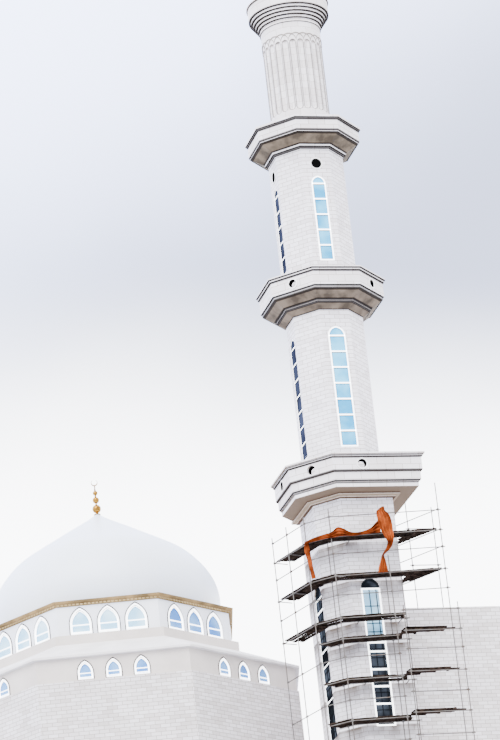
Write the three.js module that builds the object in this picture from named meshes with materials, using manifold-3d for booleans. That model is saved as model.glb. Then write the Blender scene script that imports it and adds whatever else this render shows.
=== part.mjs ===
// Mosque with a tall minaret, a domed prayer hall and a plain side wing, at half of its real size.
// Lengths are millimetres, +Z is up, the ground is z = 0 and the minaret axis is x = y = 0.
import * as THREE from 'three';
import { mergeVertices } from 'three/addons/utils/BufferGeometryUtils.js';
import Module from 'manifold-3d';

const wasm = await Module();
wasm.setup();

// One real metre at half size, and the clearance between neighbours.
const M = 500;
const GAP = 0.3;

// Minaret levels, in real metres above the ground.
const LOWER_BALCONY_BASE = 15.96;
const LOWER_BALCONY_TOP = 17.72;
const MIDDLE_BALCONY_BASE = 26.28;
const MIDDLE_BALCONY_TOP = 28.2;
const CORNICE_BASE = 35.4;
const CORNICE_TOP = 37.0;
const COLUMN_TOP = 43.15;
const CAPITAL_TOP = 43.95;
const PARAPET_TOP = 44.75;
const LANTERN_TOP = 46.5;

// Minaret widths: centre to flat, in real metres.
const BASE_HALF = 1.94;
const BASE_LEFT = 2.0;
const BASE_CHAMFER = 1.146;
const MIDDLE_HALF = 1.89;
const UPPER_HALF = 1.847;
const SHAFT_WALL = 0.35;
const COLUMN_RADIUS = 1.6;
const FLUTES = 24;

// Minaret windows: width, foot and tip of the arch.
const BASE_FRONT_WINDOW = { width: 1.03, foot: 3.54, tip: 11.42 };
const BASE_LEFT_WINDOW = { width: 1.4, foot: 3.54, tip: 11.78 };
const MIDDLE_WINDOW = { width: 0.93, foot: 18.6, tip: 25.3 };
const UPPER_WINDOW = { width: 0.78, foot: 29.05, tip: 33.9 };
const BASE_WINDOW_X = 0.18;
const BASE_WINDOW_Y = 0.26;
const OCULUS_RADIUS = 0.25;
const OCULUS_LEVEL = 34.62;

// Prayer hall: centre, turn of its first face, and the levels and half widths of its tiers.
const HALL_X = -10.09;
const HALL_Y = 12.61;
const HALL_TURN = -103.5;
const HALL_HALF = 9.6;
const HALL_WALL = 0.4;
const STONE_TOP = 8.1;
const CLERESTORY_HALF = 9.5;
const EAVE_LEVEL = 9.35;
const UPSTAND_FOOT = 10.95;
const UPSTAND_TOP = 11.45;
const UPSTAND_HALF = 6.77;
const DRUM_HALF = 6.4;
const DRUM_WALL = 0.3;
const DRUM_TOP = 13.12;
const DRUM_WINDOW = { width: 1.1, foot: 11.56, tip: 12.94 };
const HALL_WINDOW = { width: 0.78, foot: 8.16, tip: 9.1 };
const WINDOW_SPACING = 1.45;

// Side wing.
const WING_FRONT = -0.3;
const WING_RIGHT = 10.0;
const WING_BACK = 8.0;
const WING_LEFT = 0.3;
const WING_TOP = 10.3;
const WING_WALL = 0.3;

// Scaffold round the foot of the minaret: the line of its outer uprights, from the back left round
// to the front right, and from there back to the wall.
const TUBE_HALF = 0.03;
const BACK_LEFT = [-3.85, 1.05];
const FRONT_LEFT = [-2.95, -1.95];
const FRONT_CORNER = [-1.9, -2.95];
const FRONT_RIGHT = [3.68, -3.8];
const WALL_END = [1.945, -0.94];
const BAY_LEFT = [1.1, -4.12];
const BAY_RIGHT = [3.95, -4.22];
const DECK_LEVELS = [13.35, 11.25, 9.0, 7.9, 5.75, 3.6];
const DECK_THICK = 0.06;
const DECK_WIDTH = 0.8;

const DEG = Math.PI / 180;
const FLAT = Math.cos(Math.PI / 8);

function clean(geometry) {
  const g = geometry.index ? geometry.toNonIndexed() : geometry.clone();
  g.deleteAttribute('normal');
  g.deleteAttribute('uv');
  const merged = mergeVertices(g, 1e-3);
  const faces = [];
  const index = merged.index.array;
  for (let i = 0; i < index.length; i += 3) {
    const [a, b, c] = [index[i], index[i + 1], index[i + 2]];
    if (a !== b && b !== c && c !== a) {
      faces.push(a, b, c);
    }
  }
  merged.setIndex(faces);
  return merged;
}

function solid(geometry) {
  const g = clean(geometry);
  const mesh = new wasm.Mesh({
    numProp: 3,
    vertProperties: new Float32Array(g.attributes.position.array),
    triVerts: new Uint32Array(g.index.array),
  });
  return new wasm.Manifold(mesh);
}

function geometryOf(body) {
  const mesh = body.getMesh();
  const g = new THREE.BufferGeometry();
  g.setAttribute('position', new THREE.Float32BufferAttribute(mesh.vertProperties, 3));
  g.setIndex(Array.from(mesh.triVerts));
  return g;
}

// A straight prism of a plan outline given in metres.
function prism(points, low, high, holes = []) {
  const shape = new THREE.Shape(points.map(([x, y]) => new THREE.Vector2(x * M, y * M)));
  for (const hole of holes) {
    shape.holes.push(new THREE.Path(hole.map(([x, y]) => new THREE.Vector2(x * M, y * M))));
  }
  const g = new THREE.ExtrudeGeometry(shape, { depth: (high - low) * M, bevelEnabled: false });
  g.translate(0, 0, low * M);
  return g;
}

// A closed profile of [distance, level] pairs turned round the vertical, in metres.
function turned(profile, segments, start = 0, x = 0, y = 0) {
  const points = profile.map(([r, z]) => new THREE.Vector2(r * M, z * M));
  const g = new THREE.LatheGeometry(points, segments, start, Math.PI * 2);
  g.rotateX(Math.PI / 2);
  g.translate(x * M, y * M, 0);
  return g;
}

// An eight-sided ring whose profile is measured from the centre to the flats.
function octagon(profile, turn = -90, x = 0, y = 0) {
  const corners = [...profile, profile[0]].map(([a, z]) => [a / FLAT, z]);
  return turned(corners, 8, (turn + 90 + 22.5) * DEG, x, y);
}

function round(profile, segments, x = 0, y = 0) {
  return turned([...profile, profile[0]], segments, 0, x, y);
}

function octagonPlan(half, turn = -90, x = 0, y = 0) {
  const points = [];
  for (let i = 0; i < 8; i++) {
    const a = (turn + 22.5 + 45 * i) * DEG;
    points.push([x + half / FLAT * Math.cos(a), y + half / FLAT * Math.sin(a)]);
  }
  return points;
}

function disc(radius, low, high, segments, x = 0, y = 0) {
  const g = new THREE.CylinderGeometry(radius * M, radius * M, (high - low) * M, segments);
  g.rotateX(Math.PI / 2);
  g.translate(x * M, y * M, (low + high) / 2 * M);
  return g;
}

function box(x0, x1, y0, y1, z0, z1) {
  const g = new THREE.BoxGeometry((x1 - x0) * M, (y1 - y0) * M, (z1 - z0) * M);
  g.translate((x0 + x1) / 2 * M, (y0 + y1) / 2 * M, (z0 + z1) / 2 * M);
  return g;
}

// Places a piece drawn in the plane of a wall: x along it, y up, and z out of it.
function onWall(g, turn, distance, along = 0, x = 0, y = 0) {
  g.translate(along * M, 0, distance * M);
  g.rotateX(Math.PI / 2);
  g.rotateZ((turn + 90) * DEG);
  g.translate(x * M, y * M, 0);
  return g;
}

// A pointed arch opening drawn upright.
function archShape(width, foot, tip) {
  const a = width / 2 * M;
  const rise = width * 0.56 * M;
  const spring = tip * M - rise;
  const radius = (a * a + rise * rise) / (2 * a);
  const top = Math.asin(rise / radius);
  const shape = new THREE.Shape();
  shape.moveTo(-a, foot * M);
  shape.lineTo(a, foot * M);
  for (let i = 0; i <= 3; i++) {
    const t = top * i / 3;
    shape.lineTo(a - radius + radius * Math.cos(t), spring + radius * Math.sin(t));
  }
  for (let i = 2; i >= 0; i--) {
    const t = top * i / 3;
    shape.lineTo(-a + radius - radius * Math.cos(t), spring + radius * Math.sin(t));
  }
  return shape;
}

function archCutter(opening, depth) {
  const shape = archShape(opening.width, opening.foot, opening.tip);
  const g = new THREE.ExtrudeGeometry(shape, { depth: depth * M, bevelEnabled: false });
  g.translate(0, 0, -depth / 2 * M);
  return g;
}

function roundCutter(radius, depth, level) {
  const g = new THREE.CylinderGeometry(radius * M, radius * M, depth * M, 12);
  g.rotateX(Math.PI / 2);
  g.translate(0, level * M, 0);
  return g;
}

function cut(geometry, cutters) {
  let body = solid(geometry);
  for (const cutter of cutters) {
    body = body.subtract(solid(cutter));
  }
  return body;
}

// Points moved sideways from a line of corners by a distance to its left, with mitred corners.
function offsetLine(line, distance) {
  return line.map((p, i) => {
    const before = line[Math.max(i - 1, 0)];
    const after = line[Math.min(i + 1, line.length - 1)];
    const a = i > 0 ? Math.atan2(p[1] - before[1], p[0] - before[0]) : Math.atan2(after[1] - p[1], after[0] - p[0]);
    const b = i < line.length - 1 ? Math.atan2(after[1] - p[1], after[0] - p[0]) : a;
    const half = (((b - a) / DEG + 540) % 360 - 180) / 2 * DEG;
    const reach = distance / Math.cos(half);
    return [p[0] - reach * Math.sin(a + half), p[1] + reach * Math.cos(a + half)];
  });
}

// A level square bar between two plan points, lengthened at its ends.
function rail(p, q, z, startMore = 0, endMore = 0) {
  const length = Math.hypot(q[0] - p[0], q[1] - p[1]);
  const g = box(-startMore, length + endMore, -TUBE_HALF, TUBE_HALF, -TUBE_HALF, TUBE_HALF);
  g.rotateZ(Math.atan2(q[1] - p[1], q[0] - p[0]));
  g.translate(p[0] * M, p[1] * M, z * M);
  return g;
}

function upright([x, y], high, low = 0) {
  return box(x - TUBE_HALF, x + TUBE_HALF, y - TUBE_HALF, y + TUBE_HALF, low, high);
}

function fused(geometries) {
  let body = solid(geometries[0]);
  for (const g of geometries.slice(1)) {
    body = body.add(solid(g));
  }
  return body;
}

const part = new THREE.Group();
part.name = 'mosque';

function node(name, shape, color, roughness = 0.8, metalness = 0) {
  const g = shape instanceof THREE.BufferGeometry ? clean(shape) : geometryOf(shape);
  g.computeVertexNormals();
  const material = new THREE.MeshStandardMaterial({ color, roughness, metalness });
  material.name = name;
  const mesh = new THREE.Mesh(g, material);
  mesh.name = name;
  part.add(mesh);
  return mesh;
}

const LIMESTONE = 0xe4e0e0;
const PLASTER = 0xd8d2cd;
const PANE = 0x9fd0ea;

// Minaret foot: eight-sided on the left, with square corners where the wing joins on the right.
function footPlan(half) {
  const s = half * 0.44;
  return [[half, -half], [half, half], [-s, half], [-half, s], [-half, -s], [-s, -half]];
}

// The wall below the balcony has one cut corner only, at the front left.
function basePlan(inset) {
  const side = BASE_HALF - inset;
  const left = BASE_LEFT - inset;
  const chamfer = BASE_CHAMFER - inset * (2 - Math.SQRT2);
  return [[side, -side], [side, side], [-left, side], [-left, chamfer - side], [chamfer - left, -side]];
}

node('minaret_floor', prism(basePlan(SHAFT_WALL + GAP / M), 0, 0.3), 0xbdb6ae);
const footDoor = { width: 0.9, foot: 0.3, tip: 2.5 };
node('minaret_base_wall', cut(prism(basePlan(0), 0, LOWER_BALCONY_BASE, [basePlan(SHAFT_WALL)]), [
  onWall(archCutter(BASE_FRONT_WINDOW, 1), -90, BASE_HALF, BASE_WINDOW_X),
  onWall(archCutter(BASE_LEFT_WINDOW, 1), 180, BASE_LEFT, -BASE_WINDOW_Y),
  onWall(archCutter(footDoor, 1), 90, BASE_HALF, -1.0),
]), LIMESTONE);

// Panes stand halfway through the wall, a little clear of the stone all round.
function pane(opening, turn, distance, along = 0, x = 0, y = 0) {
  const inset = GAP / M;
  const shape = archShape(opening.width - 2 * inset, opening.foot + inset, opening.tip - inset * 1.2);
  const g = new THREE.ExtrudeGeometry(shape, { depth: 0.04 * M, bevelEnabled: false });
  return onWall(g, turn, distance, along, x, y);
}

node('base_front_window', pane(BASE_FRONT_WINDOW, -90, BASE_HALF - 0.2, BASE_WINDOW_X), PANE, 0.1);
node('base_left_window', pane(BASE_LEFT_WINDOW, 180, BASE_LEFT - 0.2, -BASE_WINDOW_Y), PANE, 0.1);

// Lower balcony: floor slab with a flat soffit and a parapet with round holes.
function footTier(half, low, high, inner) {
  return solid(prism(footPlan(half), low, high, inner ? [footPlan(inner)] : []));
}

let lowerBalcony = footTier(3.468, 17.64, 17.72, 3.05);
const lowerTiers = [
  [3.375, 17.52, 17.64, 3.05], [3.3, 16.77, 17.52, 3.05], [3.2, 16.29, 16.77, 0],
  [3.134, 16.22, 16.29, 0], [3.075, 15.96, 16.22, 0],
];
for (const [half, low, high, inner] of lowerTiers) {
  lowerBalcony = lowerBalcony.add(footTier(half, low, high, inner));
}
lowerBalcony = lowerBalcony.subtract(solid(prism(octagonPlan(1.4), 15.9, 16.9)));

for (const [turn, along] of [[-90, 0.1], [-135, 0], [180, 0], [135, 0], [90, -0.1]]) {
  const hole = roundCutter(OCULUS_RADIUS, 1.2, 17.145);
  const distance = turn % 90 === 0 ? 3.2 : 3.13;
  lowerBalcony = lowerBalcony.subtract(solid(onWall(hole, turn, distance, along)));
}
for (const along of [-1.7, 1.7]) {
  const hole = roundCutter(OCULUS_RADIUS, 1.2, 17.145);
  lowerBalcony = lowerBalcony.subtract(solid(onWall(hole, 0, 3.2, along)));
}
node('lower_balcony', lowerBalcony, LIMESTONE);

// Eight-sided shafts with a tall window in every other face.
function shaft(half, low, high, opening, extra) {
  const inner = half - SHAFT_WALL;
  const g = octagon([[inner, low], [half, low], [half, high], [inner, high]]);
  const cutters = [];
  for (const turn of [-90, 0, 90, 180]) {
    cutters.push(onWall(archCutter(opening, 1), turn, half));
    if (extra) {
      cutters.push(onWall(roundCutter(OCULUS_RADIUS, 1, OCULUS_LEVEL), turn, half));
    }
  }
  return cut(g, cutters);
}

// One sleeve of glass behind the four windows of a storey.
function sleeve(half, low, high) {
  const outer = half - SHAFT_WALL - GAP / M;
  const inner = outer - 0.03;
  return octagon([[inner, low], [outer, low], [outer, high], [inner, high]]);
}

const middleLow = 16.77 + GAP / M;
node('middle_shaft_wall', shaft(MIDDLE_HALF, middleLow, MIDDLE_BALCONY_BASE - GAP / M, MIDDLE_WINDOW, false), LIMESTONE);
node('middle_shaft_glazing', sleeve(MIDDLE_HALF, middleLow, 25.6), PANE, 0.1);

// A balcony or cornice of stacked mouldings over a sloped soffit, with its floor and parapet.
function moulded(profile, floor, parapet, well) {
  const top = profile[profile.length - 1][1];
  const outline = [[well, profile[0][1]], ...profile, [parapet, top], [parapet, floor], [well, floor]];
  return octagon(outline);
}

const middleBalconyProfile = [
  [1.93, 26.28], [2.28, 26.5], [2.28, 26.54], [2.338, 26.54], [2.338, 26.66], [2.4, 26.66],
  [2.92, 27.04], [2.97, 27.04], [2.97, 27.2], [3.05, 27.2], [3.05, 28.01], [3.13, 28.01],
  [3.13, 28.13], [3.2, 28.13], [3.2, 28.2],
];
let middleBalcony = solid(moulded(middleBalconyProfile, 27.1, 2.8, 1.2));
for (const turn of [-135, -45, 45, 135]) {
  middleBalcony = middleBalcony.subtract(solid(onWall(roundCutter(0.23, 1, 27.6), turn, 2.93)));
}
node('middle_balcony', middleBalcony, LIMESTONE);

const upperLow = 27.1 + GAP / M;
node('upper_shaft_wall', shaft(UPPER_HALF, upperLow, CORNICE_BASE - GAP / M, UPPER_WINDOW, true), LIMESTONE);
node('upper_shaft_glazing', sleeve(UPPER_HALF, upperLow, 33.95), PANE, 0.1);

const corniceProfile = [
  [1.88, 35.4], [1.88, 35.48], [1.934, 35.48], [1.934, 35.56], [2.02, 35.56], [2.02, 35.67],
  [2.66, 36.1], [2.72, 36.1], [2.72, 36.18], [2.77, 36.18], [2.77, 36.82], [2.83, 36.82],
  [2.83, 36.89], [2.896, 36.89], [2.896, 37.0],
];
node('upper_cornice', moulded(corniceProfile, 36.3, 2.5, 1.1), LIMESTONE);

// Round fluted column: 24 hollows between narrow fillets, with a plain ring at both ends.
function flutedPlan(radius, depth) {
  const points = [];
  for (let i = 0; i < FLUTES; i++) {
    for (let k = 0; k < 4; k++) {
      const a = (i + k / 4) * 2 * Math.PI / FLUTES;
      const r = radius - depth * Math.sin(Math.PI * k / 4);
      points.push([r * Math.cos(a), r * Math.sin(a)]);
    }
  }
  return points;
}

const COLUMN_FOOT = 36.3 + GAP / M;
let column = solid(prism(flutedPlan(COLUMN_RADIUS, 0.06), 37.9, 42.3));
column = column.add(solid(disc(COLUMN_RADIUS, COLUMN_FOOT, 38.0, 48)));
column = column.add(solid(disc(COLUMN_RADIUS, 42.2, COLUMN_TOP, 48)));
column = column.subtract(solid(disc(1.3, 36, 44, 24)));
node('fluted_column', column, LIMESTONE);

// Capital: a neck and four widening rings, the last of which is the floor of the gallery.
const RING_HEIGHT = 0.16;
const RING_STEP = 0.11;
const RING_FOOT = CAPITAL_TOP - 4 * RING_HEIGHT;
const capitalProfile = [[1.3, COLUMN_TOP + GAP / M], [1.62, COLUMN_TOP + GAP / M], [1.62, RING_FOOT]];
for (let i = 0; i < 4; i++) {
  const r = 1.62 + RING_STEP * (i + 1);
  const z = RING_FOOT + RING_HEIGHT * i;
  capitalProfile.push([r, z]);
  capitalProfile.push([r, z + RING_HEIGHT]);
}
capitalProfile.push([1.3, CAPITAL_TOP]);
node('column_capital', round(capitalProfile, 32), LIMESTONE);

// Top gallery: a round parapet on the capital.
const galleryFoot = CAPITAL_TOP + GAP / M;
node('gallery_parapet', round([[1.95, galleryFoot], [2.17, galleryFoot], [2.17, PARAPET_TOP - 0.12],
  [2.23, PARAPET_TOP - 0.12], [2.23, PARAPET_TOP], [1.95, PARAPET_TOP]], 32), LIMESTONE);

// Lantern: a small round room with eight arched openings.
const lanternCutters = [];
for (let i = 0; i < 4; i++) {
  lanternCutters.push(onWall(archCutter({ width: 0.55, foot: 44.65, tip: 45.95 }, 4), i * 45 - 90, 0));
}
node('lantern_wall', cut(round([[1.1, galleryFoot], [1.35, galleryFoot], [1.35, LANTERN_TOP - 0.25],
  [1.5, LANTERN_TOP - 0.15], [1.5, LANTERN_TOP], [1.1, LANTERN_TOP]], 24), lanternCutters), LIMESTONE);

// Small onion dome of the minaret.
const smallDome = [[1.12, 0], [1.3, 0], [1.42, 0.5], [1.33, 1.0], [1.12, 1.4], [0.8, 1.75],
  [0.45, 2.05], [0.2, 2.35], [0.1, 2.65], [0.02, 2.65], [0.02, 2.2], [0.7, 1.58], [1.18, 0.95]];
node('minaret_dome', round(smallDome.map(([r, z]) => [r, z + LANTERN_TOP + GAP / M]), 20), 0xeef2f8, 0.35);

// Finials: three gold balls that shrink upward and a crescent on a stem.
function crescentGeometry(radius, thick) {
  const shape = new THREE.Shape();
  const steps = 12;
  for (let i = 0; i <= steps; i++) {
    const a = (118 + 304 * i / steps) * DEG;
    shape[i ? 'lineTo' : 'moveTo'](radius * Math.cos(a) * M, radius * Math.sin(a) * M);
  }
  for (let i = steps - 1; i > 0; i--) {
    const a = (118 + 304 * i / steps) * DEG;
    const x = radius * 0.83 * Math.cos(a);
    const y = radius * 0.83 * Math.sin(a) + radius * 0.14;
    shape.lineTo(x * M, y * M);
  }
  const g = new THREE.ExtrudeGeometry(shape, { depth: thick * M, bevelEnabled: false });
  g.translate(0, 0, -thick / 2 * M);
  return g;
}

function finialProfile(foot, unit, stem) {
  const balls = [[0.34, 0.25], [0.87, 0.19], [1.3, 0.14]];
  const points = [[0, foot], [0.2 * unit, foot], [0.09 * unit, foot + 0.06 * unit]];
  for (const [z, r] of balls) {
    for (let k = 0; k <= 4; k++) {
      const a = (-75 + 150 * k / 4) * DEG;
      points.push([Math.max(0.04, r * Math.cos(a)) * unit, foot + (z + r * Math.sin(a)) * unit]);
    }
  }
  points.push([0.035 * unit, foot + 1.5 * unit], [0.03 * unit, foot + stem * unit], [0, foot + stem * unit]);
  return points;
}

function finial(foot, unit, x, y, turn) {
  const body = solid(turned(finialProfile(foot, unit, 1.78), 10, 0, x, y));
  const moon = crescentGeometry(0.19 * unit, 0.05 * unit);
  moon.translate(0, (foot + 1.92 * unit) * M, 0);
  return body.add(solid(onWall(moon, turn, 0, 0, x, y)));
}

const minaretDomeTip = LANTERN_TOP + 2.65 + 2 * GAP / M;
node('minaret_finial', finial(minaretDomeTip, 0.7, 0, 0, -103), 0xc39a4e, 0.3, 1);

// Prayer hall walls: stone below, plaster with small arched windows under the eave.
const HALL = [HALL_TURN, HALL_X, HALL_Y];
function hallRing(outer, inner, low, high) {
  return octagon([[inner, low], [outer, low], [outer, high], [inner, high]], ...HALL);
}

function faceWindows(opening, half, skip = -1) {
  const cutters = [];
  for (let face = 0; face < 8; face++) {
    for (const along of [-WINDOW_SPACING, 0, WINDOW_SPACING]) {
      if (face !== skip) {
        cutters.push(onWall(archCutter(opening, 1.2), HALL_TURN + 45 * face, half, along, HALL_X, HALL_Y));
      }
    }
  }
  return cutters;
}

const hallInner = HALL_HALF - HALL_WALL;
node('hall_floor', prism(octagonPlan(hallInner - GAP / M, ...HALL), 0, 0.3), 0xbdb6ae);
node('hall_stone_wall', cut(hallRing(HALL_HALF, hallInner, 0, STONE_TOP), [
  onWall(archCutter({ width: 2.4, foot: 0.3, tip: 4.1 }, 2), HALL_TURN + 180, HALL_HALF, 0, HALL_X, HALL_Y),
  onWall(archCutter({ width: 1.2, foot: 0.3, tip: 2.9 }, 2), HALL_TURN + 90, HALL_HALF, -2.6, HALL_X, HALL_Y),
]), LIMESTONE);
const clerestoryInner = CLERESTORY_HALF - 0.3;
const clerestoryLow = STONE_TOP + GAP / M;
node('hall_window_wall', cut(hallRing(CLERESTORY_HALF, clerestoryInner, clerestoryLow, EAVE_LEVEL),
  faceWindows(HALL_WINDOW, CLERESTORY_HALF)), PLASTER);
node('hall_glazing', hallRing(clerestoryInner - GAP / M, clerestoryInner - 0.03, clerestoryLow, 9.2), PANE, 0.1);

// Sloped roof round the drum, and the low upstand that the drum rises from.
const eave = EAVE_LEVEL + GAP / M;
node('hall_roof', octagon([[9.15, eave], [9.75, eave], [9.75, 9.46], [UPSTAND_HALF, UPSTAND_FOOT],
  [6.1, UPSTAND_FOOT], [6.1, 10.7]], ...HALL), 0xe0dddc);
node('drum_upstand', hallRing(UPSTAND_HALF, 6.1, UPSTAND_FOOT + GAP / M, UPSTAND_TOP), PLASTER);
const drumInner = DRUM_HALF - DRUM_WALL;
const drumLow = UPSTAND_TOP + GAP / M;
node('drum_wall', cut(hallRing(DRUM_HALF, drumInner, drumLow, DRUM_TOP),
  faceWindows(DRUM_WINDOW, DRUM_HALF)), 0xe8e8ea);
node('drum_glazing', hallRing(drumInner - GAP / M, drumInner - 0.03, drumLow, 13.05), PANE, 0.1);
const corniceLow = DRUM_TOP + GAP / M;
const corniceBlank = octagon([[4, corniceLow], [6.42, corniceLow], [6.46, 13.2], [6.6, 13.28],
  [6.66, 13.38], [4, 13.38]], ...HALL);
node('drum_cornice', cut(corniceBlank, [disc(5.5, 13, 14, 48, HALL_X, HALL_Y)]), 0xb79b74);

// Low onion dome: a thin round shell that bulges past its foot and ends in a point.
const domeOuter = [[5.88, 13.38], [6.05, 14.0], [6.13, 14.7], [6.05, 15.3], [5.85, 15.85], [5.44, 16.5],
  [4.71, 17.28], [3.67, 17.98], [2.8, 18.52], [1.96, 19.05], [1.0, 19.63], [0.45, 19.98], [0.12, 20.25]];
const domeInner = [[0.02, 20.25], [0.02, 19.75], [1.9, 18.75], [3.5, 17.75], [5.2, 16.3], [5.88, 14.7], [5.68, 13.38]];
const domeProfile = [...domeOuter, ...domeInner].map(([r, z]) => [r, z + GAP / M]);
node('main_dome', round(domeProfile, 40, HALL_X, HALL_Y), 0xeef2f8, 0.35);
node('dome_finial', finial(20.25 + 2 * GAP / M, 0.95, HALL_X, HALL_Y, -104), 0xc39a4e, 0.3, 1);

// Side wing: plain stone walls round a flat roof, notched where the minaret stands.
const notch = BASE_HALF + GAP / M;
const wingOutline = [[notch, WING_FRONT], [WING_RIGHT, WING_FRONT], [WING_RIGHT, WING_BACK],
  [WING_LEFT, WING_BACK], [WING_LEFT, notch], [notch, notch]];
function wingPlan(inset) {
  return [[notch + inset, WING_FRONT + inset], [WING_RIGHT - inset, WING_FRONT + inset],
    [WING_RIGHT - inset, WING_BACK - inset], [WING_LEFT + inset, WING_BACK - inset],
    [WING_LEFT + inset, notch + inset], [notch + inset, notch + inset]];
}
node('wing_walls', cut(prism(wingOutline, 0, WING_TOP, [wingPlan(WING_WALL)]), [
  onWall(archCutter({ width: 0.9, foot: 0.3, tip: 2.5 }, 1), 90, notch, -1.0),
  onWall(archCutter({ width: 1.2, foot: 0.3, tip: 2.9 }, 1), 180, -WING_LEFT, -7.0),
]), LIMESTONE);
const roofInset = WING_WALL + GAP / M;
node('wing_roof', prism(wingPlan(roofInset), 9.4, 9.65), 0xd0cbc4);
node('wing_floor', prism(wingPlan(roofInset), 0, 0.3), 0xbdb6ae);

// Low passage between the hall and the wing.
const passage = solid(box(-4, WING_LEFT - GAP / M, 5.9, 7.9, 0, 4.2))
  .subtract(solid(box(-5, 1, 6.2, 7.6, -1, 3.95)))
  .subtract(solid(prism(octagonPlan(HALL_HALF + GAP / M, ...HALL), -1, 5)));
node('passage', passage, LIMESTONE);

// Scaffold frames: uprights and rails of tube, fused where they cross. The rails run just inside
// the uprights, and those under a deck carry it.
const STEP = 0.05;
const outerLine = offsetLine([BACK_LEFT, FRONT_LEFT, FRONT_CORNER, FRONT_RIGHT, WALL_END], STEP);
const under = DECK_LEVELS.map((z) => z - TUBE_HALF);
const UPPER_RAILS = [14.4, under[0], 12.4, under[1], 10.2];
const LOWER_RAILS = [under[3], 6.9, under[4], 4.65, under[5], 2.4];
const along = (p, q, t) => [p[0] + (q[0] - p[0]) * t, p[1] + (q[1] - p[1]) * t];
const straight = (p, q) => offsetLine([p, q], STEP);

const middlePost = along(FRONT_CORNER, FRONT_RIGHT, 0.495);
const [frontStart, frontEnd] = straight(FRONT_CORNER, FRONT_RIGHT);
const [slantStart, slantEnd] = straight(FRONT_LEFT, FRONT_CORNER);
const [backStart, backEnd] = straight(FRONT_RIGHT, WALL_END);
const frontBars = [upright(FRONT_CORNER, 14.8), upright(middlePost, 12.15), upright(FRONT_RIGHT, 15.85)];
for (const z of UPPER_RAILS) {
  frontBars.push(rail(frontStart, frontEnd, z, 0.05, 0.15));
}
for (const z of [UPPER_RAILS[0], UPPER_RAILS[1], UPPER_RAILS[2], UPPER_RAILS[3]]) {
  frontBars.push(rail(backStart, backEnd, z, 0, -0.14));
}
frontBars.push(rail(frontStart, along(frontStart, frontEnd, 0.6), under[2], 0.05, 0));
for (const z of LOWER_RAILS) {
  frontBars.push(rail(frontStart, along(frontStart, frontEnd, 0.495), z, 0.05, 0.12));
}
for (const z of [...UPPER_RAILS, under[2], ...LOWER_RAILS]) {
  frontBars.push(rail(slantStart, slantEnd, z, -0.12, 0.05));
}
node('scaffold_front_frame', fused(frontBars), 0x7d7f82, 0.5, 1);

const [bayStart, bayEnd] = straight(BAY_LEFT, BAY_RIGHT);
const bayBars = [upright(BAY_LEFT, 9.2), upright(BAY_RIGHT, 9.3)];
for (const z of [8.95, ...LOWER_RAILS]) {
  bayBars.push(rail(bayStart, bayEnd, z, 0.12, 0.12));
}
node('scaffold_bay_frame', fused(bayBars), 0x7d7f82, 0.5, 1);

const INNER = DECK_WIDTH;
const POST = INNER + 0.055;
const innerRails = offsetLine([FRONT_LEFT, FRONT_CORNER, FRONT_RIGHT], INNER);
const innerPosts = offsetLine([FRONT_LEFT, FRONT_CORNER, FRONT_RIGHT], POST);
const innerBars = [
  upright(along(innerPosts[0], innerPosts[1], 0.66), 13.3),
  upright(along(innerPosts[1], innerPosts[2], 0.45), 11.2),
  upright(along(innerPosts[1], innerPosts[2], 0.6), 11.2),
];
for (const z of under) {
  innerBars.push(rail(innerRails[0], innerRails[1], z, -0.3, 0.02));
  innerBars.push(rail(innerRails[1], along(innerRails[1], innerRails[2], 0.63), z, 0.02, 0));
}
for (const z of [under[0], under[2], under[4]]) {
  for (const x of [-0.75, 1.45]) {
    const y = innerRails[1][1] + (x - innerRails[1][0]) * (FRONT_RIGHT[1] - FRONT_CORNER[1])
      / (FRONT_RIGHT[0] - FRONT_CORNER[0]);
    innerBars.push(rail([x, y], [x, -BASE_HALF - GAP / M], z));
  }
}
node('scaffold_inner_frame', fused(innerBars), 0x7d7f82, 0.5, 1);

const [leftStart, leftEnd] = straight(BACK_LEFT, FRONT_LEFT);
const leftPosts = [BACK_LEFT, along(BACK_LEFT, FRONT_LEFT, 0.45), FRONT_LEFT];
const leftBars = [upright(leftPosts[0], 14.68), upright(leftPosts[1], 14.8), upright(leftPosts[2], 14.75)];
for (const z of [...UPPER_RAILS, under[2], 6.9, 4.65, 2.4]) {
  leftBars.push(rail(leftStart, leftEnd, z, 0.12, 0));
}
const inward = [leftStart[0] - BACK_LEFT[0], leftStart[1] - BACK_LEFT[1]].map((v) => v / STEP);
for (const z of [under[0], under[1], under[2]]) {
  for (const [x, y] of leftPosts.slice(0, 2)) {
    leftBars.push(rail([x, y], [x + inward[0] * INNER, y + inward[1] * INNER], z));
  }
}
node('scaffold_left_frame', fused(leftBars), 0x7d7f82, 0.5, 1);

const roofTop = 9.65 + GAP / M;
const roofBars = [upright([3.42, 0.6], 16.85, roofTop), upright([4.8, 0.6], 16.1, roofTop)];
for (const z of [14.9, 12.9]) {
  roofBars.push(rail([3.42, 0.55], [4.8, 0.55], z, 0.15, 0.15));
}
node('scaffold_roof_frame', fused(roofBars), 0x7d7f82, 0.5, 1);

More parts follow.
